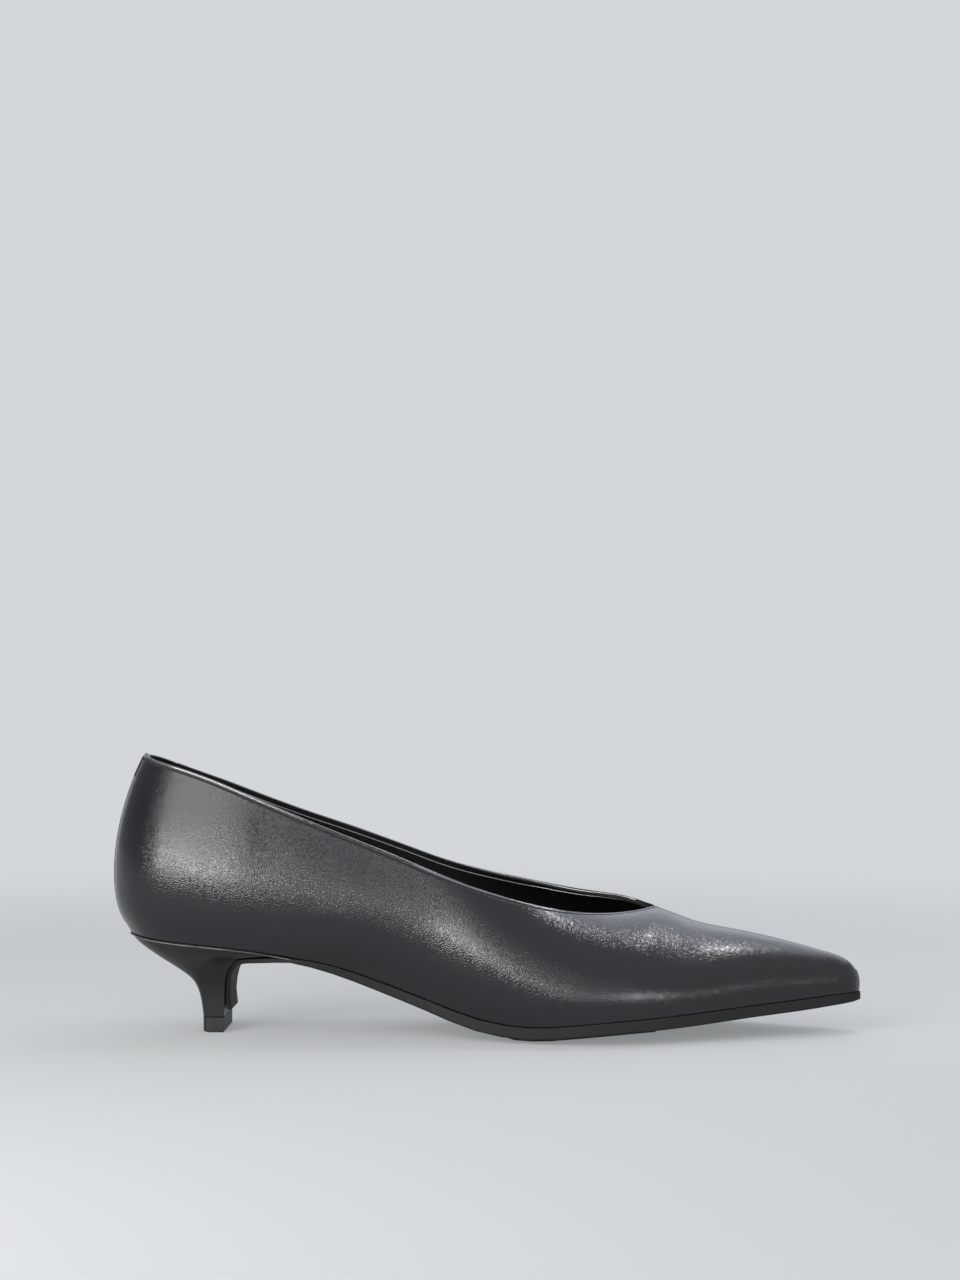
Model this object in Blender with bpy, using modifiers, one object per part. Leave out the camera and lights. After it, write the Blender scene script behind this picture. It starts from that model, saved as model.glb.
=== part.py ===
"""Kitten heel pump, right shoe: upper, insole, outsole, heel and top piece.

The toe points along +X, the outer side lies at -Y and the floor is z = 0.
Every curved piece is worked out from one feather line, the edge where upper and sole meet.
Sizes are in metres. Tables hold shares of the named sizes, with a row for each section of the last.
"""
import math
from bisect import bisect_right
from collections import namedtuple

import bmesh
import bpy
from mathutils import Vector

# Driving sizes
LENGTH = 0.2632            # back of the heel bulge to the toe tip
BALL_WIDTH = 0.0740        # feather line to feather line across the ball
HEEL_HEIGHT = 0.0345       # feather line above the floor at the very back
BACK_RISE = 0.0620         # collar above the feather line at the back
VAMP_RISE = 0.0336         # throat above the feather line
TOE_LIFT = 0.0086          # feather line at the toe above the feather line at the ball
WALL = 0.0015              # leather and lining together
MARGIN = 0.0060            # leather turned in under the insole
MARGIN_AT_TIP = 0.0005     # what is left of it inside the wall at the toe tip
MARGIN_SHARE = 0.3         # how fast the margin widens with the shoe's half width
INSOLE_THICKNESS = 0.0022
SOLE_EDGE = 0.0041         # thickness of the sole at the ball
THIN_SOLE = 0.0015         # thickness under the seat and down the heel breast
SOLE_LIP = 0.0003          # how far the sole stands out past the feather line
SOLE_CROWN = 0.0011        # how much lower the middle of the sole hangs than its edge
EDGE_LIFT = 0.0014         # lower corner of the sole above the floor at the ball
EDGE_ROUND = 0.0006        # rounding of the lower corner of the sole
TREAD_STEP = 0.0010        # how far the tread patch stands out of the sole
TREAD_ROOT = 0.0010        # how deep the patch is rooted in the sole
STEM_FRONT = 0.0407        # front of the heel's foot, from the back of the shoe
STEM_LENGTH = 0.0079       # heel's foot from front to back
STEM_WIDTH = 0.0220        # heel's foot from side to side
TIP_HEIGHT = 0.0052        # top piece
TIP_ROUND = 0.0004         # rounding of the top piece where it meets the floor
FLAP_END = 0.0076          # lower end of the breast flap above the floor
FLAP_WIDTH = 0.0180        # breast flap at its lower end
FLAP_FLARE = 0.0006        # how far the flap's lower end stands forward
GAP = 0.0003               # room between touching pieces

# Mesh fineness
SPLITS = 2                 # stations between two rows of a table
RIB_STEPS = 12             # faces up a rib of the upper
FIRST_STEP = 0.14          # share of a rib that its lowest face takes, more than the wall
ACROSS = 8                 # faces across the sole
END_SHARE = 0.2            # where a flat layer starts within its first station
SHARP_EDGE = math.radians(40)

LATERAL = -1
MEDIAL = 1
UP = Vector((0, 0, 1))

BALL_LIFT = GAP + SOLE_EDGE + EDGE_LIFT
BACK_ROW = 0
HEEL_FRONT_ROW = 6
THROAT_ROW = 14

# Feather line from the back to the toe tip. x is a share of LENGTH. heel_lift is a share of the
# climb from ball to heel, arch is what the inner side adds to it, and toe_lift is a share of
# TOE_LIFT. lateral and medial are shares of BALL_WIDTH, measured from the middle plane.
Feather = namedtuple("Feather", "x heel_lift toe_lift arch lateral medial")
FEATHER = (
    Feather(0.023, 1.000, 0.000, 0.000, 0.000, 0.000),
    Feather(0.032, 0.996, 0.000, 0.000, 0.112, 0.112),
    Feather(0.053, 0.970, 0.000, 0.000, 0.209, 0.209),
    Feather(0.099, 0.934, 0.000, 0.000, 0.291, 0.291),
    Feather(0.141, 0.909, 0.000, 0.000, 0.331, 0.328),
    Feather(0.194, 0.861, 0.000, 0.006, 0.345, 0.340),
    Feather(0.248, 0.780, 0.000, 0.018, 0.338, 0.312),
    Feather(0.305, 0.665, 0.000, 0.045, 0.303, 0.255),
    Feather(0.362, 0.481, 0.000, 0.070, 0.282, 0.224),
    Feather(0.427, 0.270, 0.000, 0.060, 0.318, 0.252),
    Feather(0.495, 0.072, 0.000, 0.028, 0.398, 0.326),
    Feather(0.560, 0.000, 0.000, 0.006, 0.464, 0.406),
    Feather(0.625, 0.000, 0.160, 0.000, 0.508, 0.462),
    Feather(0.686, 0.000, 0.330, 0.000, 0.500, 0.478),
    Feather(0.724, 0.000, 0.405, 0.000, 0.464, 0.464),
    Feather(0.751, 0.000, 0.458, 0.000, 0.428, 0.442),
    Feather(0.781, 0.000, 0.520, 0.000, 0.382, 0.406),
    Feather(0.846, 0.000, 0.674, 0.000, 0.276, 0.310),
    Feather(0.914, 0.000, 0.815, 0.000, 0.170, 0.194),
    Feather(0.960, 0.000, 0.930, 0.000, 0.101, 0.110),
    Feather(0.987, 0.000, 0.985, 0.000, 0.057, 0.058),
    Feather(0.998, 0.000, 1.000, 0.000, 0.000, 0.000),
)

# Collar edge from the back to the throat. x is a share of LENGTH, rise is a share of what the
# back stands above the throat, inner is what the inner side adds to it.
Collar = namedtuple("Collar", "x rise inner lateral medial")
COLLAR = (
    Collar(0.042, 1.000, 0.000, 0.000, 0.000),
    Collar(0.047, 1.002, -0.006, 0.088, 0.090),
    Collar(0.065, 0.976, -0.024, 0.176, 0.180),
    Collar(0.105, 0.916, -0.080, 0.257, 0.259),
    Collar(0.145, 0.818, -0.097, 0.297, 0.295),
    Collar(0.198, 0.665, -0.088, 0.324, 0.317),
    Collar(0.255, 0.526, -0.058, 0.334, 0.322),
    Collar(0.316, 0.416, -0.019, 0.336, 0.322),
    Collar(0.377, 0.382, 0.000, 0.340, 0.326),
    Collar(0.442, 0.346, 0.028, 0.353, 0.341),
    Collar(0.507, 0.331, 0.090, 0.346, 0.342),
    Collar(0.570, 0.230, 0.147, 0.301, 0.318),
    Collar(0.630, 0.068, 0.172, 0.208, 0.246),
    Collar(0.690, 0.000, 0.140, 0.086, 0.130),
    Collar(0.726, 0.026, 0.000, -0.020, 0.020),
)

# Ridge of the vamp from the throat to the toe. rise is a share of VAMP_RISE, side a share of
# BALL_WIDTH.
Ridge = namedtuple("Ridge", "x rise side")
RIDGE = (
    Ridge(0.726, 1.022, 0.020),
    Ridge(0.752, 0.938, 0.019),
    Ridge(0.780, 0.836, 0.017),
    Ridge(0.842, 0.706, 0.010),
    Ridge(0.907, 0.552, 0.004),
    Ridge(0.948, 0.433, 0.001),
    Ridge(0.969, 0.372, 0.000),
    Ridge(0.980, 0.322, 0.000),
)

# Form of each rib as shares of its own height: how far its two handles reach. out and rise
# leave the feather line, lean and drop leave the top edge.
Rib = namedtuple("Rib", "out rise lean drop")
RIBS = (
    Rib(0.160, 0.160, 0.190, 0.350),
    Rib(0.150, 0.180, 0.170, 0.350),
    Rib(0.140, 0.220, 0.140, 0.350),
    Rib(0.130, 0.260, 0.110, 0.350),
    Rib(0.122, 0.280, 0.090, 0.350),
    Rib(0.124, 0.290, 0.080, 0.350),
    Rib(0.148, 0.290, 0.070, 0.350),
    Rib(0.235, 0.280, 0.070, 0.350),
    Rib(0.260, 0.270, 0.070, 0.350),
    Rib(0.190, 0.260, 0.090, 0.340),
    Rib(0.130, 0.270, 0.240, 0.300),
    Rib(0.125, 0.310, 0.350, 0.220),
    Rib(0.125, 0.350, 0.370, 0.120),
    Rib(0.120, 0.330, 0.340, 0.040),
    Rib(0.106, 0.300, 0.300, 0.000),
    Rib(0.105, 0.300, 0.320, 0.000),
    Rib(0.105, 0.310, 0.340, 0.000),
    Rib(0.112, 0.380, 0.345, 0.000),
    Rib(0.115, 0.430, 0.340, 0.000),
    Rib(0.110, 0.470, 0.310, 0.000),
    Rib(0.080, 0.480, 0.310, 0.000),
    Rib(0.055, 0.460, 0.370, 0.000),
)

# Sole for each row of the feather line from the heel's front to the toe: thick is a share of
# SOLE_EDGE less THIN_SOLE, crown a share of SOLE_CROWN.
Sole = namedtuple("Sole", "thick crown")
SOLE = (
    Sole(0.00, 0.00),
    Sole(0.44, 0.10),
    Sole(0.62, 0.25),
    Sole(0.76, 0.45),
    Sole(0.95, 0.80),
    Sole(1.00, 1.00),
    Sole(1.00, 1.00),
    Sole(1.00, 1.00),
    Sole(1.00, 1.00),
    Sole(0.99, 0.95),
    Sole(0.97, 0.90),
    Sole(0.92, 0.65),
    Sole(0.88, 0.35),
    Sole(0.78, 0.15),
    Sole(0.62, 0.05),
    Sole(0.42, 0.00),
)

# Heel from the seat down to the top piece. The first four are shares of the way from the seat
# to the foot of the heel, for the back edge and for the front edge. narrow is the share of the
# way to STEM_WIDTH, box goes from the seat's round outline to the foot's square one, and flap
# is the share of the front that the sole covers.
Heel = namedtuple("Heel", "back_in back_fall front_in front_fall narrow box flap")
HEEL = (
    Heel(0.000, 0.000, 0.000, 0.000, 0.000, 0.00, 1.00),
    Heel(0.076, 0.090, 0.200, 0.016, 0.070, 0.02, 1.00),
    Heel(0.205, 0.177, 0.440, 0.032, 0.180, 0.10, 1.00),
    Heel(0.382, 0.279, 0.643, 0.050, 0.330, 0.25, 1.00),
    Heel(0.607, 0.397, 0.803, 0.092, 0.530, 0.45, 0.98),
    Heel(0.771, 0.490, 0.905, 0.215, 0.700, 0.65, 0.94),
    Heel(0.872, 0.565, 0.960, 0.330, 0.825, 0.80, 0.89),
    Heel(0.931, 0.669, 0.987, 0.480, 0.920, 0.90, 0.84),
    Heel(0.973, 0.794, 1.000, 0.670, 0.975, 0.97, 0.82),
    Heel(1.000, 1.000, 1.000, 1.000, 1.000, 1.00, 0.82),
)
HEEL_CORNER = 4.5          # squareness of the heel's foot; 2 would be round
HEEL_BACK_SHARE = 0.5      # share of the foot's length that its back corners take
HEEL_BACK_POINTS = 0.7     # share of the outline's points that lie on them

# Tread patch under the ball
TREAD_START = 0.535        # share of LENGTH
TREAD_END = 0.715          # share of LENGTH
TREAD_SHARE = 0.77         # share of the sole's width
TREAD_WAVES = 3            # waves along each of its two ends
TREAD_WAVE = 0.0020        # how far a wave swings either way
TREAD_ROWS = 8
TREAD_ACROSS = 18

# Plain colours with roughness: the finishes are made elsewhere
FINISH = {
    "upper": ((0.022, 0.020, 0.022), 0.32),
    "insole": ((0.018, 0.018, 0.019), 0.60),
    "outsole": ((0.020, 0.019, 0.019), 0.45),
    "heel": ((0.024, 0.022, 0.023), 0.38),
    "top_piece": ((0.016, 0.015, 0.015), 0.50),
}


def smooth_line(knots, values, turned):
    """A function that runs smoothly through a column. A turned one passes through its ends
    to the other side of the shoe, any other is mirrored there."""
    sign = -1 if turned else 1
    steps = [2 * knots[0] - knots[1], *knots, 2 * knots[-1] - knots[-2]]
    first = values[0] + sign * (values[1] - values[0])
    last = values[-1] + sign * (values[-2] - values[-1])
    points = [first, *values, last]
    slopes = [0.0]
    for i in range(1, len(points) - 1):
        before = steps[i] - steps[i - 1]
        after = steps[i + 1] - steps[i]
        climb_before = (points[i] - points[i - 1]) / before
        climb_after = (points[i + 1] - points[i]) / after
        slopes.append((climb_before * after + climb_after * before) / (before + after))

    def line(t):
        i = min(max(bisect_right(steps, t) - 1, 1), len(knots) - 1)
        width = steps[i + 1] - steps[i]
        s = (t - steps[i]) / width
        return (points[i] * (1 + 2 * s) * (1 - s) ** 2
                + slopes[i] * width * s * (1 - s) ** 2
                + points[i + 1] * s * s * (3 - 2 * s)
                + slopes[i + 1] * width * s * s * (s - 1))
    return line


def columns(table, knots, turned=()):
    """A smooth line for each named column of a table."""
    names = table[0]._fields
    return {name: smooth_line(knots, [getattr(row, name) for row in table], name in turned)
            for name in names}


def row_knots():
    """Distance along the outer feather line up to each row, in metres."""
    knots = [0.0]
    for before, after in zip(FEATHER, FEATHER[1:]):
        along = (after.x - before.x) * LENGTH
        aside = (after.lateral - before.lateral) * BALL_WIDTH
        knots.append(knots[-1] + math.hypot(along, aside))
    return knots


KNOTS = row_knots()
FOOT = columns(FEATHER, KNOTS, turned=("lateral", "medial"))
FORM = columns(RIBS, KNOTS)
EDGE = columns(COLLAR, KNOTS[:THROAT_ROW + 1], turned=("lateral", "medial"))
CREST = columns(RIDGE, KNOTS[THROAT_ROW:], turned=("x", "rise", "side"))
UNDER = columns(SOLE, KNOTS[HEEL_FRONT_ROW:], turned=("thick", "crown"))


def stations(first_row, last_row):
    """Places along the feather line, SPLITS of them from each row to the next."""
    places = []
    for row in range(first_row, last_row):
        for part in range(SPLITS):
            places.append(KNOTS[row] + (KNOTS[row + 1] - KNOTS[row]) * part / SPLITS)
    return places + [KNOTS[last_row]]


def feather(t, side):
    """Point of the feather line on one side."""
    climb = FOOT["heel_lift"](t)
    if side == MEDIAL:
        climb += FOOT["arch"](t)
    width = FOOT["lateral" if side == LATERAL else "medial"](t)
    z = BALL_LIFT + climb * (HEEL_HEIGHT - BALL_LIFT) + FOOT["toe_lift"](t) * TOE_LIFT
    return Vector((FOOT["x"](t) * LENGTH, side * width * BALL_WIDTH, z))


def outward(t, side):
    """Level direction that points out of the shoe, square to the feather line."""
    step = 0.0002
    along = feather(t + step, side) - feather(t - step, side)
    return Vector((-side * along.y, side * along.x, 0)).normalized()


def downward(t):
    """Direction square to the sole, in the plane along the shoe."""
    step = 0.002
    start = max(t - step, KNOTS[0])
    end = min(t + step, KNOTS[-1])
    along = feather(end, LATERAL) + feather(end, MEDIAL)
    along -= feather(start, LATERAL) + feather(start, MEDIAL)
    return Vector((along.z, 0, -along.x)).normalized()


def place_at(x):
    """Station whose feather line lies at a distance from the back of the shoe."""
    low, high = KNOTS[0], KNOTS[-1]
    for _ in range(30):
        middle = (low + high) / 2
        if FOOT["x"](middle) * LENGTH < x:
            low = middle
        else:
            high = middle
    return low


def on_feather_surface(point):
    """The point moved up or down onto the surface that spans the feather line."""
    t = place_at(point.x)
    left, right = feather(t, LATERAL), feather(t, MEDIAL)
    share = (point.y - left.y) / max(right.y - left.y, GAP)
    z = left.z + (right.z - left.z) * min(max(share, 0), 1)
    return Vector((point.x, point.y, z))


def collar(t, side):
    """Point of the collar edge on one side."""
    rise = EDGE["rise"](t)
    if side == MEDIAL:
        rise += EDGE["inner"](t)
    width = EDGE["lateral" if side == LATERAL else "medial"](t)
    z = feather(t, LATERAL).z + VAMP_RISE + rise * (BACK_RISE - VAMP_RISE)
    return Vector((EDGE["x"](t) * LENGTH, side * width * BALL_WIDTH, z))


def ridge(t):
    """Point of the vamp's ridge."""
    z = feather(t, LATERAL).z + CREST["rise"](t) * VAMP_RISE
    return Vector((CREST["x"](t) * LENGTH, CREST["side"](t) * BALL_WIDTH, z))


def ridge_direction(t):
    """Direction of the ridge towards the toe."""
    step = 0.001
    start = max(t - step, KNOTS[THROAT_ROW])
    end = min(t + step, KNOTS[-1])
    return (ridge(end) - ridge(start)).normalized()


def rib(t, side):
    """Points of one rib, from the inner edge of the lasting margin over the feather line and
    up to the collar or the ridge."""
    foot = feather(t, side)
    out = outward(t, side)
    if t < KNOTS[THROAT_ROW]:
        top = collar(t, side)
        height = (top - foot).length
        handle = top + height * (FORM["lean"](t) * out - FORM["drop"](t) * UP)
    else:
        top = ridge(t)
        height = (top - foot).length
        across = out.x * ridge_direction(t) + Vector((0, out.y, 0))
        handle = top + height * FORM["lean"](t) * across
    start = foot + height * (FORM["out"](t) * out + FORM["rise"](t) * UP)
    turned_in = min(MARGIN, WALL + MARGIN_AT_TIP + MARGIN_SHARE * abs(foot.y))
    points = [on_feather_surface(foot - turned_in * out)]
    for i in range(RIB_STEPS + 1):
        s = 0 if i == 0 else FIRST_STEP + (1 - FIRST_STEP) * (i - 1) / (RIB_STEPS - 1)
        points.append(foot * (1 - s) ** 3 + start * 3 * s * (1 - s) ** 2
                      + handle * 3 * s * s * (1 - s) + top * s ** 3)
    return points


def add_object(name, bm, collection):
    """Make an object of a bmesh, shade it smooth and give it its own material."""
    mesh = bpy.data.meshes.new(name)
    bm.to_mesh(mesh)
    bm.free()
    mesh.shade_smooth()
    mesh.set_sharp_from_angle(angle=SHARP_EDGE)
    obj = bpy.data.objects.new(name, mesh)
    collection.objects.link(obj)
    return obj


def finish(obj):
    """Give an object its colour and roughness."""
    colour, roughness = FINISH[obj.name]
    material = bpy.data.materials.new(obj.name)
    material.use_nodes = True
    shader = material.node_tree.nodes["Principled BSDF"]
    shader.inputs["Base Color"].default_value = (*colour, 1)
    shader.inputs["Roughness"].default_value = roughness
    shader.inputs["Metallic"].default_value = 0
    obj.data.materials.append(material)


def loft(rings, cap):
    """Closed body through rings of points; cap closes the first and the last ring."""
    bm = bmesh.new()
    rows = [[bm.verts.new(point) for point in ring] for ring in rings]
    count = len(rings[0])
    for before, after in zip(rows, rows[1:]):
        for i in range(count):
            j = (i + 1) % count
            bm.faces.new((before[i], before[j], after[j], after[i]))
    cap(bm, rows[0])
    cap(bm, rows[-1])
    bmesh.ops.recalc_face_normals(bm, faces=bm.faces)
    if bm.calc_volume(signed=True) < 0:
        bmesh.ops.reverse_faces(bm, faces=bm.faces)
    return bm


def ladder_cap(bm, row):
    """Close a ring with rungs between its two halves."""
    count = len(row)
    for i in range((count - 1) // 2):
        corners = (row[i], row[i + 1], row[count - 2 - i], row[count - 1 - i])
        bm.faces.new(list(dict.fromkeys(corners)))


def build_upper(collection):
    """Open surface around the shoe, with its wall grown inwards."""
    places = stations(BACK_ROW, len(FEATHER) - 1)
    ribs = [rib(t, LATERAL) for t in places]
    ribs += [rib(t, MEDIAL) for t in reversed(places[1:-1])]
    bm = bmesh.new()
    rows = [[bm.verts.new(point) for point in points] for points in ribs]
    for before, after in zip(rows, rows[1:] + rows[:1]):
        for i in range(len(before) - 1):
            bm.faces.new((before[i], after[i], after[i + 1], before[i + 1]))
    bmesh.ops.remove_doubles(bm, verts=bm.verts, dist=GAP / 100)
    obj = add_object("upper", bm, collection)
    wall = obj.modifiers.new("wall", "SOLIDIFY")
    wall.thickness = WALL
    wall.offset = -1
    wall.use_even_offset = True
    return obj


def slab(t, inset, low, high):
    """Ring around one station of a flat layer: low and high are measured down from the
    feather surface, and inset is taken off each side."""
    left = feather(t, LATERAL) - inset * outward(t, LATERAL)
    right = feather(t, MEDIAL) - inset * outward(t, MEDIAL)
    down = downward(t)
    top = [left.lerp(right, i / ACROSS) + high * down for i in range(ACROSS + 1)]
    bottom = [left.lerp(right, i / ACROSS) + low * down for i in range(ACROSS + 1)]
    return top + bottom[::-1]


def build_insole(collection):
    """Board and sock on top of the lasting margin."""
    inset = WALL + 2 * GAP
    low = -(WALL + GAP)
    high = low - INSOLE_THICKNESS
    places = stations(BACK_ROW, len(FEATHER) - 1)[:-1]
    places[0] += END_SHARE * (places[1] - places[0])
    rings = [slab(t, inset, low, high) for t in places]
    return add_object("insole", loft(rings, ladder_cap), collection)


def heel_outline(row, side):
    """Points of one heel section from its back to its front on one side, as shares of its
    length and of its half width, mixed from the seat's outline and a square foot."""
    seat = [feather(t, side) for t in stations(BACK_ROW, HEEL_FRONT_ROW)]
    seat_length = seat[-1].x - seat[0].x
    widest = max(abs(point.y) for point in seat)
    last = len(seat) - 1
    turning = HEEL_BACK_POINTS * last
    power = 2 / HEEL_CORNER
    outline = []
    for i, point in enumerate(seat):
        angle = math.pi / 2 * min(i / turning, 1)
        straight = max(i - turning, 0) / (last - turning)
        length = HEEL_BACK_SHARE * (1 - math.cos(angle) ** power)
        length += (1 - HEEL_BACK_SHARE) * straight
        square = Vector((length, math.sin(angle) ** power))
        round_seat = Vector(((point.x - seat[0].x) / seat_length, abs(point.y) / widest))
        outline.append(round_seat.lerp(square, row.box))
    return outline


def heel_ends(row):
    """Back and front point of one heel section in the middle plane."""
    seat = seat_ring()
    seat_back = seat[len(seat) // 2]
    seat_front = (seat[0] + seat[-1]) / 2
    foot_z = TIP_HEIGHT + GAP
    back = Vector((seat_back.x + row.back_in * (STEM_FRONT - STEM_LENGTH - seat_back.x), 0,
                   seat_back.z + row.back_fall * (foot_z - seat_back.z)))
    front = Vector((seat_front.x + row.front_in * (STEM_FRONT - seat_front.x), 0,
                    seat_front.z + row.front_fall * (foot_z - seat_front.z)))
    return back, front


def heel_half_width(row, side):
    """Half width of one heel section."""
    seat = max(abs(feather(t, side).y) for t in stations(BACK_ROW, HEEL_FRONT_ROW))
    return seat + row.narrow * (STEM_WIDTH / 2 - seat)


def seat_ring():
    """Ring around the seat, just under the upper, from the front on the outer side round the
    back to the front on the inner side."""
    sides = []
    for side in (LATERAL, MEDIAL):
        sides.append([feather(t, side) + GAP * downward(t)
                      for t in stations(BACK_ROW, HEEL_FRONT_ROW)])
    return sides[0][::-1] + sides[1][1:]


def heel_ring(row):
    """Ring of points around one heel section, in the order of the seat's ring."""
    if row is HEEL[0]:
        return seat_ring()
    back, front = heel_ends(row)
    sides = []
    for side in (LATERAL, MEDIAL):
        width = side * heel_half_width(row, side)
        sides.append([back.lerp(front, share.x) + Vector((0, width * share.y, 0))
                      for share in heel_outline(row, side)])
    return sides[0][::-1] + sides[1][1:]


def build_heel(collection):
    """Heel block with the wings that run forward under the seat."""
    rings = [heel_ring(row) for row in HEEL]
    return add_object("heel", loft(rings, ladder_cap), collection)


def build_top_piece(collection):
    """Tip of the same outline as the heel's foot."""
    foot = heel_ring(HEEL[-1])
    middle = Vector((STEM_FRONT - STEM_LENGTH / 2, 0, 0))
    rings = []
    for height, inset in ((0, TIP_ROUND), (TIP_ROUND, 0), (TIP_HEIGHT, 0)):
        along = 1 - 2 * inset / STEM_LENGTH
        aside = 1 - 2 * inset / STEM_WIDTH
        rings.append([Vector((middle.x + (point.x - middle.x) * along, point.y * aside, height))
                      for point in foot])
    return add_object("top_piece", loft(rings, ladder_cap), collection)


def sole_depth(thickness, crown, share):
    """Depth of the sole's bottom under the feather surface, share running from 0 to 1 across."""
    middle = 2 * share - 1
    return GAP + thickness + crown * (1 - middle * middle)


def sole_edges(t):
    """Outer and inner upper corner of the sole at one station."""
    return [feather(t, side) + SOLE_LIP * outward(t, side) for side in (LATERAL, MEDIAL)]


def sole_measures(t):
    """Thickness and crown of the sole at one station."""
    thickness = THIN_SOLE + UNDER["thick"](t) * (SOLE_EDGE - THIN_SOLE)
    return thickness, UNDER["crown"](t) * SOLE_CROWN


def sole_ring(left, right, down, thickness, crown):
    """Ring around one section of the sole, with rounded lower corners and a crowned bottom."""
    shares = [i / ACROSS for i in range(ACROSS + 1)]
    across = (right - left).normalized()
    corner = min(EDGE_ROUND, thickness / 3, (right - left).length / 4)
    top = [left.lerp(right, share) + GAP * down for share in shares]
    bottom = [left.lerp(right, share) + sole_depth(thickness, crown, share) * down
              for share in shares]
    bottom[0] += corner * across
    bottom[-1] -= corner * across
    side_depth = GAP + thickness - corner
    return top + [right + side_depth * down] + bottom[::-1] + [left + side_depth * down]


def end_cap(bm, row):
    """Close the end of the sole with one face."""
    bm.faces.new(row)


def walking_sections():
    """Sole sections from the toe to the front of the heel."""
    places = stations(HEEL_FRONT_ROW, len(FEATHER) - 1)[1:]
    places[-1] -= END_SHARE * (places[-1] - places[-2])
    rings = []
    for t in reversed(places):
        left, right = sole_edges(t)
        rings.append(sole_ring(left, right, downward(t), *sole_measures(t)))
    return rings


def breast_edges():
    """Outer and inner end of the sole's edge against the heel, from the front of the wings
    down the breast to the lower end of the flap."""
    edges = []
    for row in HEEL:
        ring = heel_ring(row)
        middle = (ring[0] + ring[-1]) / 2
        edges.append((middle.lerp(ring[0], row.flap), middle.lerp(ring[-1], row.flap)))
    above, below = edges[-2][0], edges.pop()[0]
    share = (above.z - FLAP_END) / (above.z - below.z)
    x = above.x + share * (below.x - above.x) + FLAP_FLARE
    edges.append((Vector((x, -FLAP_WIDTH / 2, FLAP_END)), Vector((x, FLAP_WIDTH / 2, FLAP_END))))
    return edges


def flap_sections():
    """Sole sections from the front of the heel back and down its breast."""
    edges = breast_edges()
    middles = [(left + right) / 2 for left, right in edges]
    rings = []
    for i, (left, right) in enumerate(edges):
        along = middles[min(i + 1, len(edges) - 1)] - middles[max(i - 1, 0)]
        down = Vector((-along.z, 0, along.x)).normalized()
        rings.append(sole_ring(left, right, down, THIN_SOLE, 0))
    return rings


def build_tread(cutters):
    """Raised patch under the ball with wavy ends, flat where it meets the floor."""
    start, end = place_at(TREAD_START * LENGTH), place_at(TREAD_END * LENGTH)
    rings = []
    for i in range(TREAD_ACROSS + 1):
        share = 0.5 + TREAD_SHARE * (i / TREAD_ACROSS - 0.5)
        wave = TREAD_WAVE * math.cos(2 * math.pi * TREAD_WAVES * i / TREAD_ACROSS)
        root, face = [], []
        for j in range(TREAD_ROWS + 1):
            t = start + wave + (end - start) * j / TREAD_ROWS
            left, right = sole_edges(t)
            point = left.lerp(right, share)
            depth = sole_depth(*sole_measures(t), share)
            root.append(point + (depth - TREAD_ROOT) * downward(t))
            low = point + (depth + TREAD_STEP) * downward(t)
            face.append(Vector((low.x, low.y, max(low.z, 0))))
        rings.append(root + face[::-1])
    patch = add_object("tread_patch", loft(rings, ladder_cap), cutters)
    patch.hide_render = True
    patch.display_type = "WIRE"
    return patch


def build_outsole(collection, patch):
    """Sole from the toe to the lower end of the flap, joined with its tread patch."""
    rings = walking_sections() + flap_sections()
    obj = add_object("outsole", loft(rings, end_cap), collection)
    join = obj.modifiers.new("tread patch", "BOOLEAN")
    join.operation = "UNION"
    join.object = patch
    return obj


def stand_over_origin(pieces, guides):
    """Hang all on one empty and centre the shoe's box over the origin."""
    bpy.context.view_layer.update()
    corners = [Vector(corner) for piece in pieces for corner in piece.bound_box]
    low = [min(corner[axis] for corner in corners) for axis in range(3)]
    high = [max(corner[axis] for corner in corners) for axis in range(3)]
    stand = bpy.data.objects.new("pump_stand", None)
    stand.location = (-(low[0] + high[0]) / 2, -(low[1] + high[1]) / 2, -low[2])
    pieces[0].users_collection[0].objects.link(stand)
    for obj in pieces + guides:
        obj.parent = stand


def main():
    for obj in list(bpy.data.objects):
        bpy.data.objects.remove(obj)
    scene = bpy.context.scene.collection
    shoe = bpy.data.collections.new("kitten_heel_pump")
    cutters = bpy.data.collections.new("cutters")
    scene.children.link(shoe)
    scene.children.link(cutters)
    patch = build_tread(cutters)
    pieces = [build_upper(shoe), build_insole(shoe), build_outsole(shoe, patch),
              build_heel(shoe), build_top_piece(shoe)]
    for piece in pieces:
        finish(piece)
    stand_over_origin(pieces, [patch])


main()
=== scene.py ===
"""Looks of the kitten heel pump, a right shoe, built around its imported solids.

The toe points along +X, the outer side lies at -Y and the floor is z = 0. Lengths are in metres.
"""

import math
from collections import namedtuple

import bmesh
import bpy
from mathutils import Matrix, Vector
from mathutils.kdtree import KDTree


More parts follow.
